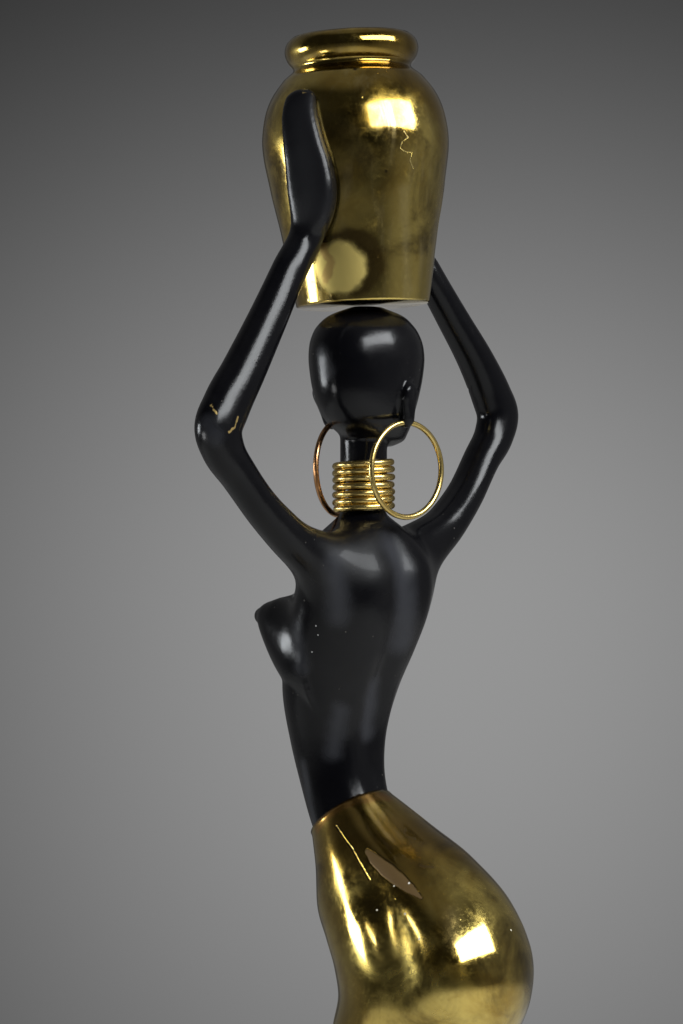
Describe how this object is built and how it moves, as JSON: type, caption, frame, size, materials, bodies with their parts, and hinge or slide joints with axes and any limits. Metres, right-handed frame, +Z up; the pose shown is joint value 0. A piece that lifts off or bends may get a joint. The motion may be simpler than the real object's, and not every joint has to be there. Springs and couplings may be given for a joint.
{
  "type": "brass figure of a woman carrying a jar",
  "caption": "Standing cast brass figure of a woman, black above the waist, in a polished wrap skirt, holding an open brass jar on her head, with hoop earrings and a wire neck coil.",
  "frame": {"origin": "centre of the base's underside, the surface that the statue stands on", "axes": "+Z up; the body faces -Y, her left side is +X; the head is turned to her right"},
  "size_m": [0.2786, 0.1836, 0.9574],
  "materials": {
    "black_patina": "satin black patina over brass, brass bared at chips",
    "skirt_brass": "mirror polished with brown tarnish clouds",
    "jar_brass": "mirror polished, upright polish streaks and tarnish clouds",
    "wire_brass": "drawn wire, semi-gloss, lightly tarnished",
    "base_black": "satin black patina"
  },
  "bodies": {
    "root": {"figure": "black_patina", "foot_left": "black_patina", "foot_right": "black_patina", "skirt": "skirt_brass", "jar": "jar_brass", "earring_left": "wire_brass", "earring_right": "wire_brass", "neck_coil": "wire_brass", "base": "base_black"}
  },
  "joints": []
}
